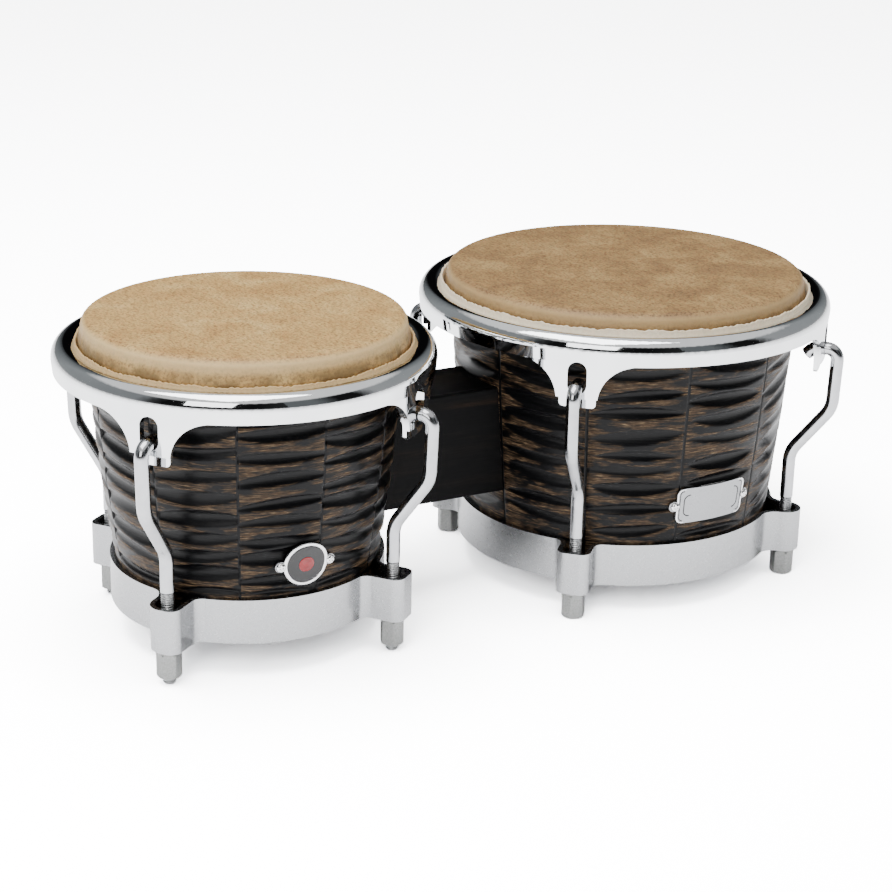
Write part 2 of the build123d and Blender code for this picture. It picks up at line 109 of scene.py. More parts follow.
backdrop_white = (4.0, 4.0, 4.0, 1.0)       # so bright that it shows as plain white
shown = mixed(sky, looked_at, light, backdrop_white)
backdrop = add(sky, "ShaderNodeBackground", {"Color": shown, "Strength": 1.0})
add(sky, "ShaderNodeOutputWorld", {"Surface": backdrop.outputs["Background"]})

# The floor's paper shows as plain white and mirrors brightly in the chrome, but lights the rest softly.
floor_half = 14.0
floor_mesh = bpy.data.meshes.new("studio_floor")
floor_corners = [(x * floor_half, y * floor_half, 0.0) for x, y in ((-1, -1), (1, -1), (1, 1), (-1, 1))]
floor_mesh.from_pydata(floor_corners, [], [(0, 1, 2, 3)])
floor = bpy.data.objects.new("studio_floor", floor_mesh)
bpy.context.collection.objects.link(floor)
paper = bpy.data.materials.new("studio_paper")
paper.use_nodes = True
paper_shader = paper.node_tree.nodes["Principled BSDF"]
rays = add(paper.node_tree, "ShaderNodeLightPath").outputs
paper_white, paper_seen, paper_mirrored = srgb("#f2f2f3"), (9.0, 9.0, 9.1, 1.0), (2.3, 2.3, 2.33, 1.0)
paper_lighting = mixed(paper.node_tree, rays["Is Glossy Ray"], paper_white, paper_mirrored)
paper_tone = mixed(paper.node_tree, rays["Is Camera Ray"], paper_lighting, paper_seen)
paper.node_tree.links.new(paper_tone, paper_shader.inputs["Base Color"])
paper_shader.inputs["Roughness"].default_value = 1.0
paper_shader.inputs["Specular IOR Level"].default_value = 0.0
floor_mesh.materials.append(paper)


def soft_lamp(name, place, aim, size, power):
    """Square lamp at a place, turned towards its aim."""
    data = bpy.data.lights.new(name, "AREA")
    data.size = size
    data.energy = power
    lamp = bpy.data.objects.new(name, data)
    lamp.location = place
    lamp.rotation_euler = (Vector(aim) - Vector(place)).to_track_quat("-Z", "Y").to_euler()
    bpy.context.collection.objects.link(lamp)


drums_middle = (0.0, 0.0, 0.1)
soft_lamp("top_softbox", (-0.35, -0.1, 1.7), drums_middle, size=1.3, power=34.0)
soft_lamp("front_softbox", (-1.7, -1.6, 1.3), drums_middle, size=1.2, power=20.0)

# Camera: in front of the small drum and a little above both heads, looking down at them with a long lens.
camera_place = Vector((-592.3, -1071.05, 528.15)) * MM
camera_yaw, camera_pitch, camera_roll = radians(28.74), radians(-19.78), radians(1.22)
camera_data = bpy.data.cameras.new("camera")
camera_data.sensor_width = 36.0
camera_data.lens = 87.05
camera = bpy.data.objects.new("camera", camera_data)
ahead = Vector((sin(camera_yaw) * cos(camera_pitch), cos(camera_yaw) * cos(camera_pitch), sin(camera_pitch)))
level_right = Vector((cos(camera_yaw), -sin(camera_yaw), 0.0))
level_up = level_right.cross(ahead)
right = level_right * cos(camera_roll) + level_up * sin(camera_roll)
up = level_up * cos(camera_roll) - level_right * sin(camera_roll)
turn = Matrix((right, up, -ahead)).transposed().to_4x4()
camera.matrix_world = Matrix.Translation(camera_place) @ turn
bpy.context.collection.objects.link(camera)
bpy.context.scene.camera = camera


# Shells: eleven hardwood staves, glued and turned, then burnt black and gouged across by hand. The
# gouges are lens-shaped scoops that stop at the glue lines, and sanding has bared the ridges between.
class Drum:
    """One drum's sizes: radii of the turned shell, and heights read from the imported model.

    scoop_start is the range of a scoop's start from the glue line, as shares of a stave's width.
    """

    def __init__(self, name, foot_r, belly_r, first_joint, scoop_start, seed):
        self.name, self.foot_r, self.belly_r = name, foot_r * MM, belly_r * MM
        self.first_joint, self.scoop_start, self.seed = radians(first_joint), scoop_start, seed
        low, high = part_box(f"{name}_shell")
        self.foot_z, self.top_z = low[2], high[2]
        skin_low, skin_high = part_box(f"{name}_skin")
        self.x = (skin_low[0] + skin_high[0]) / 2
        self.collar_r, self.head_z = (skin_high[0] - skin_low[0]) / 2, skin_high[2]
        self.ring_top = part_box(f"{name}_bottom_ring")[1][2]
        self.rim_low, self.rim_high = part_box(f"{name}_rim")
        self.bearing_r = self.collar_r - collar_over_bearing
        self.rim = f"{name}_rim"
        self.rim_edge = self.rim_high[2] - rim_h
        self.hem_drop = hem_drop[name]


hem_drop = {"macho": 1.4 * MM, "hembra": 0.0}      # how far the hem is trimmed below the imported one
rim_h = 15.6 * MM                   # skirt's lower edge to the top of the crown
collar_over_bearing = 3.9 * MM      # play, skin and flare between the bearing edge and the collar
belly_z = 97.0 * MM
shell_wall = 10.0 * MM
bearing_round = 3.5 * MM
bearing_slope = 3.0 * MM
staves = 11
macho = Drum("macho", 76.4, 83.1, 243.4, (-0.22, -0.03), 7)
hembra = Drum("hembra", 95.8, 100.9, 194.0, (-0.02, 0.08), 12)
drums = (macho, hembra)


def arc_radius(z, low, middle, high):
    """Radius at height z on the circle through three (radius, height) points."""
    (ax, ay), (bx, by), (cx, cy) = low, middle, high
    d = 2 * (ax * (by - cy) + bx * (cy - ay) + cx * (ay - by))
    aa, bb, cc = ax * ax + ay * ay, bx * bx + by * by, cx * cx + cy * cy
    x = (aa * (by - cy) + bb * (cy - ay) + cc * (ay - by)) / d
    y = (aa * (cx - bx) + bb * (ax - cx) + cc * (bx - ax)) / d
    return x + np.sqrt((ax - x) ** 2 + (ay - y) ** 2 - (z - y) ** 2)


def shell_radius(drum, z):
    """Turned shell's outer radius: straight where it stands in the ring, an arc above."""
    points = ((drum.foot_r, drum.ring_top), (drum.belly_r, belly_z), (drum.bearing_r, drum.top_z))
    return arc_radius(np.maximum(z, drum.ring_top), *points)


def new_piece(name, points, faces):
    """Object at the origin with a plain, smoothly shaded mesh."""
    mesh = bpy.data.meshes.new(name)
    mesh.from_pydata([tuple(p) for p in points], [], faces)
    mesh.validate()
    mesh.update()
    mesh.shade_smooth()
    piece = bpy.data.objects.new(name, mesh)
    bpy.context.collection.objects.link(piece)
    return piece


def bands(rows, columns, closed_rows):
    """Faces between rows of points that run round a closed shape."""
    faces = []
    for row in range(rows if closed_rows else rows - 1):
        here, above = row * columns, (row + 1) % rows * columns
        for column in range(columns):
            beside = (column + 1) % columns
            faces.append((here + column, here + beside, above + beside, above + column))
    return faces


def wrapped(x, radius, z, angles, closed_rows=True):
    """Points and faces of a closed shape turned round an upright axis at x.

    radius and z are rows by columns. With closed_rows the last row joins the first one.
    """
    points = np.stack([x + radius * np.cos(angles), radius * np.sin(angles), z], axis=-1).reshape(-1, 3)
    return points, bands(*radius.shape, closed_rows)


def spread(piece, name, values):
    """Store one number per point on a piece."""
    numbers = np.asarray(values, float).ravel()
    piece.data.attributes.new(name, "FLOAT", "POINT").data.foreach_set("value", numbers)


def unrolled(piece, drum, angle_of_point, columns):
    """UV map in metres: arc length round the drum, and height."""
    mesh = piece.data
    loops = np.empty(len(mesh.loops), int)
    mesh.loops.foreach_get("vertex_index", loops)
    places = np.empty(len(mesh.vertices) * 3)
    mesh.vertices.foreach_get("co", places)
    heights = places[2::3]
    corners = np.stack([angle_of_point[loops] * drum.belly_r, heights[loops]], axis=-1)
    starts = np.empty(len(mesh.polygons), int)
    mesh.polygons.foreach_get("loop_start", starts)
    seam = loops[starts] % columns == columns - 1
    for corner in (1, 2):
        corners[starts[seam] + corner, 0] += 2 * pi * drum.belly_r
    mesh.uv_layers.new(name="unrolled").data.foreach_set("uv", corners.ravel())


scoop_pitch = 12.2 * MM
scoop_depth = 2.8 * MM
scoop_above_ring, scoop_fade = 1.5 * MM, 3.0 * MM
scoop_end = 0.55                    # how bluntly a scoop ends, from 1, pointed, towards 0, square
scoop_upper_bias = 0.35             # how much deeper a scoop is towards its upper edge
under_rim = 0.3                     # how far the rows run on behind the rim, as a share of the pitch
usual_half = 0.42                   # half width of a full-depth scoop, as a share of the pitch
stave_lean, scoop_lean = 0.11, 0.05     # slopes, as shares of a stave's width
scoop_jitter, scoop_bow = 0.16, 0.16    # shares of the pitch
half_widths, scoop_depths = (0.27, 0.48), (0.55, 1.0)
joint_depth = 0.45 * MM
ridge_wobble = 0.12 * MM
stave_columns = np.concatenate([[0.0, 0.007, 0.02], np.linspace(0.045, 0.955, 27), [0.98, 0.993]])
carve_step = 0.8 * MM


def scoops(drum, across, heights):
    """Depth of the hand-cut scoops on one drum, for its columns and rows of points."""
    random = np.random.default_rng(drum.seed)
    stave_w = 2 * pi * drum.belly_r / staves
    low, high = drum.ring_top, drum.rim_edge + under_rim * scoop_pitch
    count = int(round((high - low) / scoop_pitch))
    depth = np.zeros((len(heights), staves, len(across)))
    for stave in range(staves):
        lean = random.uniform(-stave_lean, stave_lean)
        shift = random.uniform(-0.5, 0.5)
        for number in range(-1, count + 1):
            jitter = random.uniform(-scoop_jitter, scoop_jitter)
            middle = low + (number + 0.5 + shift + jitter) * scoop_pitch
            slope = (lean + random.uniform(-scoop_lean, scoop_lean)) * stave_w
            bow = random.uniform(-scoop_bow, scoop_bow) * scoop_pitch
            half = scoop_pitch * random.uniform(*half_widths)
            start, end = random.uniform(*drum.scoop_start), 1 - random.uniform(*drum.scoop_start)
            narrow = min(1.0, half / (usual_half * scoop_pitch))
            deep = scoop_depth * random.uniform(*scoop_depths) * narrow
            along = np.clip((across - start) / (end - start), 0, 1)
            width = half * np.sin(pi * along) ** scoop_end
            line = middle + slope * (across - 0.5) + bow * 4 * (across - 0.5) ** 2
            v = (heights[:, None] - line[None, :]) / np.maximum(width[None, :], 1e-6)
            hollow = deep * np.maximum(1 - v * v, 0) * (1 + scoop_upper_bias * v)
            cut = hollow * (width / half)[None, :]
            depth[:, stave] = np.maximum(depth[:, stave], np.where(np.abs(v) < 1, cut, 0))
    fade_low = np.clip((heights - low - scoop_above_ring) / scoop_fade, 0, 1)
    return (depth * fade_low[:, None, None]).reshape(len(heights), -1)


def ranged(tree, value, low, high, start=0.0, end=1.0):
    """Map a value from low..high to start..end."""
    limits = {"Value": value, "From Min": low, "From Max": high, "To Min": start, "To Max": end}
    return add(tree, "ShaderNodeMapRange", limits).outputs["Result"]


def times(tree, first, second):
    """Product of two values."""
    return add(tree, "ShaderNodeMath", {0: first, 1: second}, operation="MULTIPLY").outputs[0]


def burnt_wood(name, tones):
    """Burnt hardwood, thinly lacquered: soft black, with brown grain where the ridges are rubbed bare.

    The grain is drawn coarser than real grain, so that it shows.
    """
    material = bpy.data.materials.new(name)
    material.use_nodes = True
    tree = material.node_tree
    shader = tree.nodes["Principled BSDF"]
    place = add(tree, "ShaderNodeUVMap", uv_map="unrolled").outputs["UV"]
    cut = add(tree, "ShaderNodeAttribute", attribute_name="cut").outputs["Fac"]

    def grain(length, width, detail, distortion=0.0):
        """Noise drawn out along the ridges, with grains of a length and width in millimetres."""
        scale = (1 / (length * MM), 1 / (width * MM), 1.0)
        stretched = add(tree, "ShaderNodeMapping", {"Vector": place, "Scale": scale}).outputs["Vector"]
        values = {"Vector": stretched, "Scale": 1.0, "Detail": detail, "Roughness": 0.62}
        values["Distortion"] = distortion
        return add(tree, "ShaderNodeTexNoise", values).outputs["Fac"]

    streaks, fine, patches = grain(20, 1.3, 4.0, 0.5), grain(7, 0.5, 3.0), grain(26, 7, 3.0)
    ridge = ranged(tree, cut, 0.04, 0.2, 1.0, 0.0)
    rubbed = times(tree, ridge, ranged(tree, patches, 0.44, 0.56))
    bare = times(tree, rubbed, ranged(tree, streaks, 0.36, 0.62))
    brown = ramp(tree, fine, list(zip((0.3, 0.52, 0.72), tones)))
    black = ramp(tree, streaks, [(0.3, "#030303"), (0.6, "#08080a"), (0.85, "#14110f")])
    tree.links.new(mixed(tree, bare, black, brown), shader.inputs["Base Color"])
    tree.links.new(ranged(tree, bare, 0.0, 1.0, 0.3, 0.6), shader.inputs["Roughness"])
    shader.inputs["IOR"].default_value = 1.5
    shader.inputs["Specular IOR Level"].default_value = 0.14
    bump = add(tree, "ShaderNodeBump", {"Height": streaks, "Strength": 0.35, "Distance": 0.3 * MM})
    pores = {"Height": fine, "Strength": 0.3, "Distance": 0.1 * MM, "Normal": bump.outputs[0]}
    tree.links.new(add(tree, "ShaderNodeBump", pores).outputs["Normal"], shader.inputs["Normal"])
    return material


shell_browns = ("#2b2119", "#624e3b", "#b09674")
joint_share = 0.012                 # half the glue line's groove, as a share of a stave's width
settle = 2.0 * MM                   # height over which joints and ridges fade in above the ring
ridge_waves, ridge_wave_h = 9, 7.0 * MM
tucked_low, tucked_high = 2.0 * MM, 3.0 * MM    # carved surface that runs on behind ring and rim
bare_cut = 0.5                      # "cut" of plain black wood on the inside
for drum in drums:
    angles = ((np.arange(staves)[:, None] + stave_columns[None, :]) * 2 * pi / staves).ravel()
    carved = np.arange(drum.ring_top - tucked_low, drum.rim_edge + tucked_high, carve_step)
    edge_z = drum.top_z - bearing_round
    upper = np.linspace(carved[-1] + tucked_low, edge_z, 4)
    outside_z = np.concatenate([[drum.foot_z], carved, upper])
    depth = scoops(drum, stave_columns, outside_z)
    near_joint = np.minimum(stave_columns, 1 - stave_columns)
    groove = np.tile(joint_depth * np.clip(1 - near_joint / joint_share, 0, 1), staves)
    above_ring = np.clip((outside_z - drum.ring_top) / settle, 0, 1)[:, None]
    waves = np.sin(ridge_waves * angles)[None, :] * np.sin(outside_z / ridge_wave_h)[:, None]
    wobble = ridge_wobble * (waves - 1)
    outside_r = shell_radius(drum, outside_z)[:, None] - depth + (groove * -1 + wobble) * above_ring
    turn_in = np.linspace(0, pi / 2, 7)[1:]
    round_r = float(shell_radius(drum, np.array([edge_z]))[0]) - bearing_round
    inside_z = np.linspace(drum.top_z - bearing_slope, drum.foot_z, 24)
    inside_r = shell_radius(drum, inside_z) - shell_wall
    plain_r = np.concatenate([round_r + bearing_round * np.cos(turn_in), inside_r])
    plain_z = np.concatenate([edge_z + bearing_round * np.sin(turn_in), inside_z])
    radius = np.concatenate([outside_r, np.repeat(plain_r[:, None], len(angles), axis=1)])
    height_rows = np.concatenate([outside_z, plain_z])
    z = np.repeat(height_rows[:, None], len(angles), axis=1)
    points, faces = wrapped(drum.x, radius, z, angles + drum.first_joint)
    shell = new_piece(f"{drum.name}_carved_shell", points, faces)
    bare_inside = np.full((len(plain_z), len(angles)), bare_cut)
    spread(shell, "cut", np.concatenate([depth / scoop_depth + groove / joint_depth, bare_inside]))
    unrolled(shell, drum, np.tile(angles, len(height_rows)), len(angles))
    shell.data.materials.append(burnt_wood(f"burnt_wood_{drum.name}", shell_browns))
    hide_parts(f"{drum.name}_shell")
    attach(shell, "root")


# Heads: rawhide put on wet and pulled down over the bearing edge, so it sets with a soft shoulder and
# a collar that flares a little. Handling has paled the shoulder, and the collar darkens in patches towards
# its foot: dirt, and painted shade where it meets the hem.
def rawhide(name, tones, shoulder_tone, dirt_and_shade_tone):
    """Natural rawhide: mottled tan, dense, slightly waxy, with fibres and pale scraped patches."""
    material = bpy.data.materials.new(name)
    material.use_nodes = True
    tree = material.node_tree
    shader = tree.nodes["Principled BSDF"]
    place = add(tree, "ShaderNodeTexCoord").outputs["Object"]
    bend = add(tree, "ShaderNodeAttribute", attribute_name="bend").outputs["Fac"]

    def noise(size, detail, distortion=0.0, stretch=(1.0, 1.0, 1.0)):
        """Noise with grains of a size in millimetres."""
        scale = tuple(share / (size * MM) for share in stretch)
        scaled = add(tree, "ShaderNodeMapping", {"Vector": place, "Scale": scale}).outputs["Vector"]
        values = {"Vector": scaled, "Scale": 1.0, "Detail": detail, "Distortion": distortion}
        return add(tree, "ShaderNodeTexNoise", values).outputs["Fac"]

    mottle, fleck, fibre = noise(26, 4.0, 0.6), noise(1.6, 4.0), noise(2.2, 3.0, 1.5, (1.0, 0.25, 1.0))
    base = ramp(tree, mottle, list(zip((0.32, 0.5, 0.68), tones)))
    speckle = ramp(tree, fleck, [(0.36, "#a3988a"), (0.52, "#ffffff"), (0.7, "#ffffff")])
    flecked = mixed(tree, 0.75, base, speckle, "MULTIPLY")
    fibres = ramp(tree, fibre, [(0.4, "#a5927a"), (0.55, "#ffffff")])
    fibrous = mixed(tree, 0.3, flecked, fibres, "MULTIPLY")
    worn = add(tree, "ShaderNodeValToRGB", {"Fac": bend})
    worn.color_ramp.elements.new(0.5)
    worn.color_ramp.elements.new(0.75)
    rubbed = ((0.2, 0), (0.4, 0.85), (0.6, 0.7), (0.8, 0.1))
    for element, (position, amount) in zip(worn.color_ramp.elements, rubbed):
        element.position = position
        element.color = (amount, amount, amount, 1)
    pale = mixed(tree, worn.outputs[0], fibrous, srgb(shoulder_tone))
    # Dirt and painted shade: darker patches towards the foot of the collar, in the crease where it meets the
    # hem lip.
    dirt_and_shade = times(tree, ranged(tree, bend, 0.66, 0.9), ranged(tree, noise(14, 4.0), 0.4, 0.58))
    colour = mixed(tree, times(tree, dirt_and_shade, 0.85), pale, srgb(dirt_and_shade_tone))
    tree.links.new(colour, shader.inputs["Base Color"])
    shader.inputs["Roughness"].default_value = 0.62
    shader.inputs["IOR"].default_value = 1.48
    shader.inputs["Subsurface Weight"].default_value = 0.08
    shader.inputs["Subsurface Scale"].default_value = 1.5 * MM
    grain = add(tree, "ShaderNodeBump", {"Height": fleck, "Strength": 0.25, "Distance": 0.25 * MM})
    waves = {"Height": mottle, "Strength": 0.15, "Distance": 1.0 * MM, "Normal": grain.outputs["Normal"]}
    tree.links.new(add(tree, "ShaderNodeBump", waves).outputs["Normal"], shader.inputs["Normal"])
    return material


skin_t = 1.6 * MM
shoulder_r = 5.5 * MM
collar_h = 13.0 * MM
collar_clear = 0.25 * MM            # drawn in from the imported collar, so that the puckers stay inside it
pucker = 0.18 * MM
under_rows = 6                      # rows of points below the collar and under the skin
# Per drum: mottled tones, the paled shoulder's tone, and the tone of the dirt and painted shade at the
# collar's foot.
hide_tones = {
    "macho": (("#b38c53", "#c19c60", "#ccab70"), "#debf8a", "#745c36"),
    "hembra": (("#876841", "#97774a", "#a78858"), "#b29466", "#51432f"),
}
around = np.linspace(0, 2 * pi, 720, endpoint=False)
puckers = np.sin(around * 61 + 2 * np.sin(around * 7)) + 0.6 * np.sin(around * 97 + np.sin(around * 5))
deepest_pucker = 1.6
for drum in drums:
    hem_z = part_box(f"{drum.name}_skin")[0][2]
    collar = drum.collar_r - collar_clear
    flat_r = drum.bearing_r - bearing_round
    bend_at = np.linspace(0, pi / 2, 12)[1:]
    discs = flat_r * np.linspace(0.0, 1.0, 26)[1:] ** 0.8
    shoulder = flat_r + shoulder_r * np.sin(bend_at)
    shoulder_z = drum.head_z - shoulder_r * (1 - np.cos(bend_at))
    fall = np.linspace(0, 1, 9)[1:]
    fall_r = shoulder[-1] + (collar - shoulder[-1]) * fall
    fall_z = shoulder_z[-1] + (drum.head_z - collar_h - shoulder_z[-1]) * fall
    inner_r, under_z = collar - skin_t, drum.head_z - skin_t
    row_r = np.concatenate([
        discs, shoulder, fall_r,
        [collar, inner_r, inner_r, flat_r + shoulder_r - skin_t, flat_r, flat_r * 0.5],
    ])
    row_z = np.concatenate([
        np.full(len(discs), drum.head_z), shoulder_z, fall_z,
        [hem_z, hem_z, drum.head_z - collar_h, drum.head_z - shoulder_r, under_z, under_z],
    ])
    # bend is 0 on the flat, 0.6 at the end of the shoulder and 1 at the foot of the collar.
    bend = np.concatenate([
        0.2 * np.clip((discs / flat_r - 0.88) / 0.12, 0, 1), np.linspace(0.05, 0.6, len(shoulder)),
        np.linspace(0.65, 1, len(fall_r)), np.ones(under_rows),
    ])
    pull = np.clip((bend - 0.2) / 0.5, 0, 1)[:, None] * pucker
    radius = row_r[:, None] + pull * (puckers[None, :] - deepest_pucker) * 0.5
    z = np.repeat(row_z[:, None], len(around), axis=1)
    points, faces = wrapped(drum.x, radius, z, around, closed_rows=False)
    columns, last = len(around), len(row_r) - 1
    points = np.concatenate([points, [[drum.x, 0, drum.head_z], [drum.x, 0, under_z]]])
    top_point, under_point = len(points) - 2, len(points) - 1
    for column in range(columns):
        beside = (column + 1) % columns
        faces.append((top_point, beside, column))
        faces.append((under_point, last * columns + column, last * columns + beside))
    head = new_piece(f"{drum.name}_rawhide_head", points, [tuple(reversed(face)) for face in faces])
    spread(head, "bend", np.concatenate([np.repeat(bend, columns), [0, 1]]))
    head.data.materials.append(rawhide(f"rawhide_{drum.name}", *hide_tones[drum.name]))
    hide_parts(f"{drum.name}_skin")
    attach(head, "root")


# Hems: each skin's edge, lapped round the steel flesh hoop while wet and trimmed with a knife above the
# rim. It moves with the rim, so it is its own piece, which slides on the collar.
hem_t = 1.4 * MM
hem_gap = 0.3 * MM                  # between the collar and the turned-up hem
hem_overlap = 2.0 * MM              # how far the lip reaches down past the hoop's middle
lip_clear, lip_round = 0.5 * MM, 0.6 * MM
ragged_h, ragged_r, lip_out = 0.9 * MM, 0.2 * MM, 0.3 * MM
knife_waves = (5, 9, 17, 31, 53, 89, 137, 181)
hem_bend = 0.45                     # "bend" of the lapped skin, half rubbed
lap_from = 3                        # first point of the lap round the hoop that clears the lip
hem_tones = {
    "macho": (("#a8895c", "#bf9f70", "#cdb083"), "#c4a676", "#8d7858"),
    "hembra": (("#c0aa88", "#d8c6a6", "#e6d8be"), "#e2d3b8", "#8d7858"),
}
for drum in drums:
    tuck_low, tuck_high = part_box(f"{drum.name}_skin_tuck")
    hoop_low, hoop_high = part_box(f"{drum.name}_flesh_hoop")
    wire_r = (hoop_high[2] - hoop_low[2]) / 2
    hoop_r, hoop_z = (hoop_high[0] - hoop_low[0]) / 2 - wire_r, (hoop_high[2] + hoop_low[2]) / 2
    lap_r = (tuck_high[0] - tuck_low[0]) / 2 - hoop_r
    lip_r, lip_top = drum.collar_r + hem_gap, tuck_high[2] - lip_clear
    around_hoop = np.linspace(0.75 * pi, -pi, 16)[lap_from:]
    lip_out_r = [lip_r, lip_r, lip_r + 0.25 * hem_t, lip_r + 0.75 * hem_t, lip_r + hem_t, lip_r + hem_t]
    lip_z = [hoop_z + hem_overlap, lip_top - lip_round, lip_top, lip_top, lip_top - 0.5 * MM, hoop_z + lap_r]
    row_r = np.maximum(np.concatenate([lip_out_r, hoop_r + lap_r * np.cos(around_hoop)]), lip_r)
    row_z = np.concatenate([lip_z, hoop_z + lap_r * np.sin(around_hoop)])
    random = np.random.default_rng(drum.seed + 1)
    ragged = sum(
        random.uniform(0.3, 1.0) * np.sin(around * waves + random.uniform(0, 2 * pi)) for waves in knife_waves
    )
    ragged = ragged / np.abs(ragged).max()
    trim = np.array([0, 1, 1, 1, 1, 0] + [0] * len(around_hoop))[:, None]
    z = row_z[:, None] + trim * ((ragged[None, :] - 0.3) * ragged_h - drum.hem_drop)
    radius = row_r[:, None] + trim * (lip_out + ragged_r * np.roll(ragged, 40))[None, :]
    points, faces = wrapped(drum.x, radius, z, around)
    hem = new_piece(f"{drum.name}_rawhide_hem", points, faces)
    spread(hem, "bend", np.full(len(points), hem_bend))
    hem.data.materials.append(rawhide(f"rawhide_hem_{drum.name}", *hem_tones[drum.name]))
    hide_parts(f"{drum.name}_skin_tuck")
    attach(hem, drum.rim)


# Chrome: nickel and chrome plate over polished steel, on the rims, their backing plates and the rods.
# It is nearly a mirror; faint unevenness from polishing keeps its reflections from looking drawn.
def metal(name, colours, rough, unevenness, grain_size, strength):
    """Bare or plated metal: two shades, a range of roughness, and grain of a size in millimetres."""
    material = bpy.data.materials.new(name)
    material.use_nodes = True
    tree = material.node_tree
    shader = tree.nodes["Principled BSDF"]
    shader.inputs["Metallic"].default_value = 1.0
    place = add(tree, "ShaderNodeTexCoord").outputs["Object"]
    noise_values = {"Vector": place, "Scale": 1 / (grain_size * MM), "Detail": 3.0}
    noise = add(tree, "ShaderNodeTexNoise", noise_values).outputs["Fac"]
    tint = ramp(tree, noise, list(zip((0.3, 0.7), colours)))
    tree.links.new(tint, shader.inputs["Base Color"])
    polish = ranged(tree, noise, 0.3, 0.7, rough, rough + unevenness)
    tree.links.new(polish, shader.inputs["Roughness"])
    relief = {"Height": noise, "Strength": strength, "Distance": 0.05 * grain_size * MM}
    tree.links.new(add(tree, "ShaderNodeBump", relief).outputs["Normal"], shader.inputs["Normal"])
    return material


chrome = metal("chrome_plate", ("#dfe1e3", "#e9ebec"), 0.03, 0.04, 18, 0.02)
satin = metal("satin_cast_aluminium", ("#9c9d9f", "#a5a6a7"), 0.24, 0.04, 1.1, 0.03)
rod_plate = metal("nickel_plated_rod", ("#a9aaad", "#b6b7b9"), 0.12, 0.06, 6.0, 0.04)
zinc = metal("zinc_plated_steel", ("#7b7c7b", "#939492"), 0.34, 0.12, 0.9, 0.15)
steel = metal("bright_steel", ("#9a9b9c", "#bcbdbd"), 0.28, 0.12, 2.0, 0.2)


def finish(nodes, material):
    """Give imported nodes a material."""
    for name in nodes:
        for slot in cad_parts[name].material_slots:
            slot.material = material


# Tuning rods: 5/16 in steel hooked into the rim's slotted ears, cranked in to the bottom ring. The
# lower end has a rolled thread, a little smaller than the rod, which the nut pulls down.
rod_r = 3.97 * MM
thread_r, thread_depth, thread_pitch = 3.75 * MM, 0.62 * MM, 25.4 / 18 * MM
hook_below_edge, hook_bend_r, hook_reach, hook_tip = 13.8 * MM, 6.5 * MM, 6.3 * MM, 6.6 * MM
leg_standoff, leg_lean = 8.0 * MM, 1.2 * MM
upper_bend, lower_bend, crank_r = 37.5 * MM, 68.0 * MM, 18.0 * MM
thread_above_ring = 7.0 * MM
ear_inside_rim = 0.7 * MM
tip_bevel = 0.7 * MM
rod_relief, thread_root = 0.1 * MM, 0.3 * MM    # how much smaller the rod is just above the thread
ring_turn = np.linspace(0, 2 * pi, 28, endpoint=False)


def rounded(corners, radii, steps=10):
    """Points along a run of straight lines, with each inner corner rounded to its radius."""
    points = [np.array(corners[0])]
    for before, corner, after, bend_r in zip(corners, corners[1:], corners[2:], radii):
        corner = np.array(corner)
        to_before, to_after = (np.array(side) - corner for side in (before, after))
        to_before /= np.linalg.norm(to_before)
        to_after /= np.linalg.norm(to_after)
        half_angle = np.arccos(np.clip(to_before @ to_after, -1, 1)) / 2
        middle = (to_before + to_after) / np.linalg.norm(to_before + to_after)
        centre = corner + middle * bend_r / np.sin(half_angle)
        first = corner + to_before * bend_r / np.tan(half_angle) - centre
        last = corner + to_after * bend_r / np.tan(half_angle) - centre
        sweep = np.arccos(np.clip(first @ last / bend_r**2, -1, 1))
        for share in np.linspace(0, 1, steps):
            arm = first * np.sin((1 - share) * sweep) + last * np.sin(share * sweep)
            points.append(centre + arm / np.sin(sweep))
    return np.array(points + [np.array(corners[-1])])


def swept_rod(name, drum, angle, foot_r, thread_top):
    """Round bar along the rod's route, which lies in the upright plane at its angle."""
    ear_r = (drum.rim_high[0] - drum.rim_low[0]) / 2 - ear_inside_rim
    hook_z = drum.rim_edge - hook_below_edge
    hook = (ear_r - hook_reach, hook_z)
    corners = [
        (hook[0] - hook_tip * cos(pi / 4), hook[1] - hook_tip * sin(pi / 4)),
        hook,
        (ear_r + leg_standoff, hook_z),
        (ear_r + leg_standoff - leg_lean, hook_z - upper_bend),
        (foot_r, hook_z - lower_bend),
        (foot_r, thread_top),
    ]
    route = rounded(corners, [hook_bend_r, hook_bend_r, crank_r, crank_r])
    along = np.gradient(route, axis=0)
    along /= np.linalg.norm(along, axis=1)[:, None]
    tip, low = along[0] * tip_bevel, along[-1] * tip_bevel
    hook_end = [route[0], route[0] + tip * 0.3, route[0] + tip]
    low_end = [route[-1] - low, route[-1] - 0.3 * low, route[-1]]
    route = np.concatenate([hook_end, route[1:-1], low_end])
    along = np.concatenate([[along[0]] * 3, along[1:-1], [along[-1]] * 3])
    thickness = np.full(len(route), rod_r)
    thickness[[0, 1]] = rod_r - tip_bevel, rod_r - 0.3 * tip_bevel
    thickness[[-2, -1]] = rod_r - rod_relief, thread_r - thread_root
    outward, sideways = np.array([cos(angle), sin(angle), 0]), np.array([-sin(angle), cos(angle), 0])
    points = []
    for (r, z), (tr, tz), thick in zip(route, along, thickness):
        centre = np.array([drum.x, 0, z]) + outward * r
        across = outward * -tz + np.array([0, 0, tr])
        points.extend(centre + thick * (across * np.cos(t) + sideways * np.sin(t)) for t in ring_turn)
    rod = new_piece(name, points, capped(len(route), len(ring_turn)))
    rod.data.materials.append(rod_plate)
    outward_faces(rod)
    return rod


def capped(rows, columns):
    """Faces of a closed bar: bands between its rows, and a face at each end."""
    ends = [tuple(reversed(range(columns))), tuple(range((rows - 1) * columns, rows * columns))]
    return bands(rows, columns, closed_rows=False) + ends


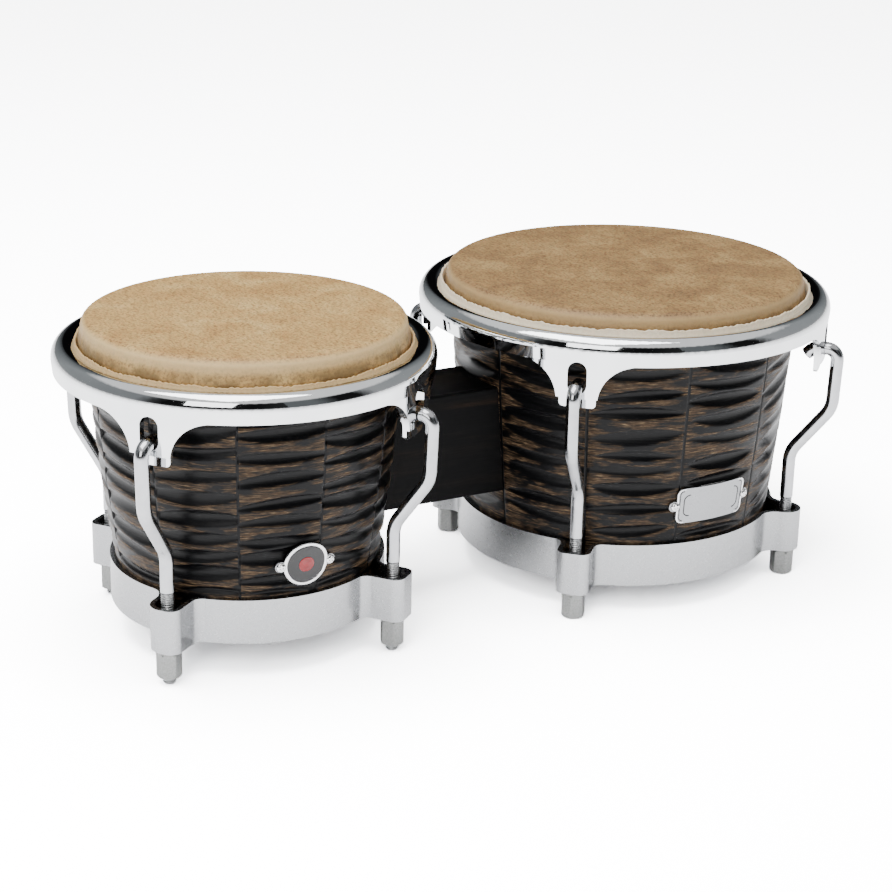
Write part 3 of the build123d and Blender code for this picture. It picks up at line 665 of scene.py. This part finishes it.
def outward_faces(piece, merge=0.0):
    """Turn every face of a closed piece outwards, after merging points closer than a distance."""
    work = bmesh.new()
    work.from_mesh(piece.data)
    if merge:
        bmesh.ops.remove_doubles(work, verts=work.verts, dist=merge)
    bmesh.ops.recalc_face_normals(work, faces=work.faces)
    work.to_mesh(piece.data)
    work.free()


def new_tree(name, sizes, counts=()):
    """Geometry Nodes tree with a geometry input and named inputs for sizes and whole numbers."""
    tree = bpy.data.node_groups.new(name, "GeometryNodeTree")
    face = tree.interface
    face.new_socket("Geometry", in_out="INPUT", socket_type="NodeSocketGeometry")
    for size in sizes:
        face.new_socket(size, in_out="INPUT", socket_type="NodeSocketFloat")
    for count in counts:
        face.new_socket(count, in_out="INPUT", socket_type="NodeSocketInt")
    face.new_socket("Geometry", in_out="OUTPUT", socket_type="NodeSocketGeometry")
    return tree, add(tree, "NodeGroupInput").outputs


def sums(tree):
    """Function that adds one Math node to a tree and gives its output."""

    def maths(operation, first, second=0.0):
        """One sum."""
        return add(tree, "ShaderNodeMath", {0: first, 1: second}, operation=operation).outputs[0]

    return maths


def unit_grid(tree, columns, rows):
    """Grid of one by one, with the places of its points across and up."""
    size = {"Size X": 1.0, "Size Y": 1.0, "Vertices X": columns, "Vertices Y": rows}
    grid = add(tree, "GeometryNodeMeshGrid", size).outputs["Mesh"]
    place = add(tree, "GeometryNodeInputPosition").outputs[0]
    return grid, add(tree, "ShaderNodeSeparateXYZ", {0: place}).outputs


def stood_on_points(tree, points, grid, position, material, rotation=None):
    """Roll a grid up to its new positions, stand it on every point, and give it a material."""
    rolled = add(tree, "GeometryNodeSetPosition", {"Geometry": grid, "Position": position}).outputs[0]
    closed = add(tree, "GeometryNodeMergeByDistance", {"Geometry": rolled, "Distance": 0.002 * MM}).outputs[0]
    set_on = {"Points": points, "Instance": closed}
    if rotation is not None:
        set_on["Rotation"] = rotation
    stood = add(tree, "GeometryNodeInstanceOnPoints", set_on).outputs[0]
    real = add(tree, "GeometryNodeRealizeInstances", {"Geometry": stood}).outputs[0]
    smooth = add(tree, "GeometryNodeSetShadeSmooth", {"Geometry": real}).outputs[0]
    made = add(tree, "GeometryNodeSetMaterial", {"Geometry": smooth, "Material": material}).outputs[0]
    add(tree, "NodeGroupOutput", {"Geometry": made})


end_steepness = 20.0                # how steeply a thread closes to its axis at both ends


def thread_tree(material):
    """Geometry Nodes: a rolled thread of a length, standing on every point it is given."""
    sizes = ("Length", "Crest Radius", "Depth", "Pitch", "Tip Radius")
    tree, given = new_tree("rolled_thread", sizes, counts=("Rows",))
    maths = sums(tree)
    grid, place = unit_grid(tree, len(ring_turn) + 1, given["Rows"])
    along = maths("MULTIPLY", maths("ADD", place["Y"], 0.5), given["Length"])
    phase = maths("FRACT", maths("SUBTRACT", maths("DIVIDE", along, given["Pitch"]), place["X"]))
    saw = maths("ABSOLUTE", maths("SUBTRACT", maths("MULTIPLY", phase, 2.0), 1.0))
    flank = maths("SUBTRACT", given["Crest Radius"], maths("MULTIPLY", saw, given["Depth"]))
    bevel, foot = maths("ADD", given["Tip Radius"], along), maths("MULTIPLY", along, end_steepness)
    top = maths("MULTIPLY", maths("SUBTRACT", given["Length"], along), end_steepness)
    radius = maths("MINIMUM", flank, maths("MINIMUM", maths("MINIMUM", bevel, foot), top))
    turn = maths("MULTIPLY", place["X"], 2 * pi)
    x, y = (maths("MULTIPLY", radius, maths(part, turn)) for part in ("COSINE", "SINE"))
    position = add(tree, "ShaderNodeCombineXYZ", {"X": x, "Y": y, "Z": along}).outputs[0]
    stood_on_points(tree, given["Geometry"], grid, position, material)
    return tree


def grown(name, points, tree, values, attributes=None):
    """Plain mesh that a Geometry Nodes tree makes on some points, with its inputs set by name."""
    host = new_piece(f"{name}_points", points, [])
    for key, vectors in (attributes or {}).items():
        stored = host.data.attributes.new(key, "FLOAT_VECTOR", "POINT")
        stored.data.foreach_set("vector", np.ravel(vectors))
    nodes = host.modifiers.new("grow", "NODES")
    nodes.node_group = tree
    for item in tree.interface.items_tree:
        if item.in_out == "INPUT" and item.name in values:
            nodes[item.identifier] = values[item.name]
    evaluated = host.evaluated_get(bpy.context.evaluated_depsgraph_get())
    mesh = bpy.data.meshes.new_from_object(evaluated)
    bpy.data.objects.remove(host)
    piece = bpy.data.objects.new(name, mesh)
    mesh.name = name
    bpy.context.collection.objects.link(piece)
    return piece


rolled_thread = thread_tree(steel)
numbers = range(1, 5)
tip_taper = 1.2 * MM
rows_per_turn = 8
for drum in drums:
    thread_top = drum.ring_top + thread_above_ring
    feet = []
    for number in numbers:
        node = f"{drum.name}_rod_{number}"
        nut_low, nut_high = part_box(f"{drum.name}_nut_{number}")
        x, y = (nut_low[0] + nut_high[0]) / 2, (nut_low[1] + nut_high[1]) / 2
        angle, foot_r = atan2(y, x - drum.x), float(np.hypot(x - drum.x, y))
        rod = swept_rod(f"{drum.name}_tuning_rod_{number}", drum, angle, foot_r, thread_top)
        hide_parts(node)
        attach(rod, drum.rim)
        feet.append(np.array([x, y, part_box(node)[0][2]]))
    length = thread_top + tip_bevel - feet[0][2]
    sizes = {
        "Length": length,
        "Crest Radius": thread_r,
        "Depth": thread_depth,
        "Pitch": thread_pitch,
        "Tip Radius": thread_r - tip_taper,
        "Rows": int(length / thread_pitch * rows_per_turn),
    }
    threads = grown(f"{drum.name}_rod_threads", feet, rolled_thread, sizes)
    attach(threads, drum.rim)


# Rims, bottom rings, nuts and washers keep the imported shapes: pressed and plated steel rims with
# welded backing plates, cast aluminium rings, and zinc-plated nuts and washers under them.
for drum in drums:
    finish([f"{drum.name}_rim", f"{drum.name}_ear_plates"], chrome)
    finish([f"{drum.name}_bottom_ring"], satin)
    finish([f"{drum.name}_nut_{number}" for number in numbers] + [f"{drum.name}_washers"], zinc)
    finish([f"{drum.name}_flesh_hoop", f"{drum.name}_block_bolts", f"{drum.name}_block_bolt_washers"], steel)
finish(["block_inserts"], steel)


# Centre block: one piece of hardwood, planed flat, hollowed to the shells' curve and burnt like them.
# Its grain runs from drum to drum and shows as faint brown bands.
def block_wood():
    """Burnt hardwood, planed: near black, with brown bands along the grain."""
    material = bpy.data.materials.new("burnt_block")
    material.use_nodes = True
    tree = material.node_tree
    shader = tree.nodes["Principled BSDF"]
    place = add(tree, "ShaderNodeTexCoord").outputs["Object"]

    def grain(scale):
        """Noise drawn out along the block."""
        stretched = add(tree, "ShaderNodeMapping", {"Vector": place, "Scale": scale}).outputs["Vector"]
        values = {"Vector": stretched, "Scale": 1.0, "Detail": 4.0, "Distortion": 0.5}
        return add(tree, "ShaderNodeTexNoise", values).outputs["Fac"]

    bands_of_growth, fibres = grain((12.0, 60.0, 105.0)), grain((60.0, 900.0, 1500.0))
    band_colour = ramp(tree, bands_of_growth, [(0.5, "#050506"), (0.6, "#0f0c0b"), (0.72, "#241b15")])
    fibre_colour = ramp(tree, fibres, [(0.35, "#7a7a7a"), (0.6, "#ffffff")])
    colour = mixed(tree, 0.7, band_colour, fibre_colour, "MULTIPLY")
    tree.links.new(colour, shader.inputs["Base Color"])
    shader.inputs["Roughness"].default_value = 0.5
    shader.inputs["Specular IOR Level"].default_value = 0.07
    bump = add(tree, "ShaderNodeBump", {"Height": fibres, "Strength": 0.3, "Distance": 0.15 * MM})
    tree.links.new(bump.outputs["Normal"], shader.inputs["Normal"])
    return material


finish(["centre_block"], block_wood())


# Badges: thin nickel plates bent to the shell and held by two screws. The small drum's is round with
# black and red enamel in a polished border; the large one's is a satin plate with an engraved border.
badge_lift = 1.7 * MM           # plate's front face above the shell
badges = {                      # bearing in degrees, then height, width, depth and corner in millimetres
    "macho": (270.0, 66.5, 26.0, 26.0, 12.9),
    "hembra": (272.5, 67.0, 48.0, 22.5, 4.0),
}
plate_metal = metal("satin_nickel", ("#8c8d8f", "#9d9ea0"), 0.26, 0.1, 0.6, 0.1)
polished = metal("polished_nickel", ("#dcdcdc", "#ebebeb"), 0.08, 0.06, 3.0, 0.05)


def enamel(name, codes):
    """Fired enamel: a deep glossy colour, with the slight unevenness of a hand-filled cell."""
    material = bpy.data.materials.new(name)
    material.use_nodes = True
    tree = material.node_tree
    shader = tree.nodes["Principled BSDF"]
    place = add(tree, "ShaderNodeTexCoord").outputs["Object"]
    waves = add(tree, "ShaderNodeTexNoise", {"Vector": place, "Scale": 260.0, "Detail": 2.0}).outputs["Fac"]
    tint = ramp(tree, waves, list(zip((0.35, 0.65), codes)))
    tree.links.new(tint, shader.inputs["Base Color"])
    shader.inputs["Roughness"].default_value = 0.12
    bump = add(tree, "ShaderNodeBump", {"Height": waves, "Strength": 0.08, "Distance": 0.3 * MM})
    tree.links.new(bump.outputs["Normal"], shader.inputs["Normal"])
    return material


black_enamel = enamel("black_enamel", ("#08080a", "#101013"))
red_enamel = enamel("red_enamel", ("#a5141c", "#bb1a22"))


def plate_outline(width, height, corner_r, inset, per_corner=16):
    """Outline of a round-cornered plate drawn in by an inset: points of (across, up) in millimetres."""
    least_r = 0.01
    r = max(corner_r - inset, least_r)
    half_w, half_h = width / 2 - inset - r, height / 2 - inset - r
    signs = ((1, 1), (-1, 1), (-1, -1), (1, -1))
    return np.array([
        (sx * half_w + r * cos(a), sy * half_h + r * sin(a))
        for quarter, (sx, sy) in enumerate(signs)
        for a in np.linspace(quarter * pi / 2, (quarter + 1) * pi / 2, per_corner)
    ])


def bent(drum, badge, outline, lift):
    """Points of an outline laid on a badge, with its lift above the plate's face in millimetres."""
    angle, middle_z = radians(badge[0]), badge[1]
    z = (middle_z + outline[:, 1]) * MM
    r = shell_radius(drum, z) + badge_lift + lift * MM
    turn = angle + outline[:, 0] * MM / shell_radius(drum, np.array([middle_z * MM]))[0]
    return np.stack([drum.x + r * np.cos(turn), r * np.sin(turn), z], axis=-1)


def raised(name, drum, badge, shape, profile, material, filled):
    """Border or field on a badge: a profile of (inset, lift), carried round the shape's outline."""
    loops = [bent(drum, badge, plate_outline(*shape, inset), lift) for inset, lift in profile]
    rows, columns = len(loops), len(loops[0])
    faces = capped(rows, columns) if filled else bands(rows, columns, closed_rows=True)
    piece = new_piece(name, np.concatenate(loops), faces)
    outward_faces(piece, merge=0.001 * MM)
    piece.data.materials.append(material)
    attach(piece, "root")


# Profiles are runs of (inset from the plate's edge, lift above its face), in millimetres.
border = [(0.0, -0.05), (0.05, 0.25), (0.5, 0.42), (1.5, 0.42), (1.95, 0.25), (2.0, -0.05)]
field = [(2.0, -0.05), (2.0, 0.16), (2.6, 0.22), (5.0, 0.25), (9.0, 0.27)]
dot = [(8.6, 0.2), (8.6, 0.42), (8.9, 0.5), (11.0, 0.56), (12.4, 0.58)]
edge_roll = [(0.0, -0.05), (0.05, 0.15), (0.3, 0.24), (0.75, 0.24), (1.0, 0.1), (1.05, -0.05)]
outer_line = [(1.5, -0.05), (1.5, 0.06), (2.1, 0.06), (2.1, -0.05)]
inner_line = [(4.2, -0.05), (4.2, 0.06), (4.9, 0.06), (4.9, -0.05)]
round_shape, oblong_shape, inner_shape = badges["macho"][2:], badges["hembra"][2:], (48.0, 22.5, 8.0)
for name, drum, shape, profile, material, filled in (
    ("macho_badge_border", macho, round_shape, border, polished, False),
    ("macho_badge_field", macho, round_shape, field, black_enamel, True),
    ("macho_badge_dot", macho, round_shape, dot, red_enamel, True),
    ("hembra_badge_edge", hembra, oblong_shape, edge_roll, polished, False),
    ("hembra_badge_line", hembra, oblong_shape, outer_line, black_enamel, False),
    ("hembra_badge_inner_line", hembra, inner_shape, inner_line, black_enamel, False),
):
    raised(name, drum, badges[drum.name], shape, profile, material, filled)
for drum in drums:
    finish([f"{drum.name}_badge"], plate_metal)


# Badge screws: small nickel-plated wood screws, two for each badge, with domed heads and a cross recess
# that the driver has left a little open. They stand in the lugs at the ends of the plate.
recess_half_w, recess_reach = 0.34 * MM, 1.5 * MM
head_back = -0.15                   # depth of the head's flat back, as a share of its height


def screw_tree(material):
    """Geometry Nodes: a domed, cross-recessed head on each point, turned to face along it."""
    tree, given = new_tree("domed_screws", ("Head Radius", "Head Height", "Recess"))
    maths = sums(tree)
    grid, place = unit_grid(tree, 49, 20)
    turn, share = maths("MULTIPLY", place["X"], 2 * pi), maths("ADD", place["Y"], 0.5)
    slope = maths("MULTIPLY", share, pi)
    radius = maths("MULTIPLY", maths("SINE", slope), given["Head Radius"])
    x, y = (maths("MULTIPLY", radius, maths(part, turn)) for part in ("COSINE", "SINE"))
    dome = maths("MULTIPLY", maths("MAXIMUM", maths("COSINE", slope), head_back), given["Head Height"])
    arms = [maths("COMPARE", side) for side in (x, y)]
    for arm in arms:
        arm.node.inputs[2].default_value = recess_half_w
    cross = maths("MULTIPLY", maths("MAXIMUM", *arms), maths("LESS_THAN", radius, recess_reach))
    front = maths("LESS_THAN", share, 0.5)
    sunk = maths("SUBTRACT", dome, maths("MULTIPLY", maths("MULTIPLY", cross, front), given["Recess"]))
    position = add(tree, "ShaderNodeCombineXYZ", {"X": y, "Y": x, "Z": sunk}).outputs[0]
    named = add(tree, "GeometryNodeInputNamedAttribute", {"Name": "facing"}, data_type="FLOAT_VECTOR")
    aim = add(tree, "FunctionNodeAlignRotationToVector", {"Vector": named.outputs[0]}, axis="Z").outputs[0]
    stood_on_points(tree, given["Geometry"], grid, position, material, rotation=aim)
    return tree


domed_screws = screw_tree(polished)
head_sizes = {"Head Radius": 2.7 * MM, "Head Height": 1.5 * MM, "Recess": 0.55 * MM}
lug_offset = 1.6 * MM               # screw's centre past the end of the plate
head_lift = 0.35 * MM
for drum in drums:
    bearing_deg, middle_z, width = badges[drum.name][:3]
    middle_z *= MM
    at_badge_r = shell_radius(drum, np.array([middle_z]))[0]
    turn = atan2(width / 2 * MM + lug_offset, at_badge_r)
    seats, facings = [], []
    for side in (-turn, turn):
        out = Vector((cos(radians(bearing_deg) + side), sin(radians(bearing_deg) + side), 0.0))
        seats.append(Vector((drum.x, 0, middle_z)) + out * (float(at_badge_r) + badge_lift + head_lift))
        facings.append(out)
    screws = grown(f"{drum.name}_badge_screw_heads", seats, domed_screws, head_sizes, {"facing": facings})
    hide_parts(f"{drum.name}_badge_screws")
    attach(screws, "root")
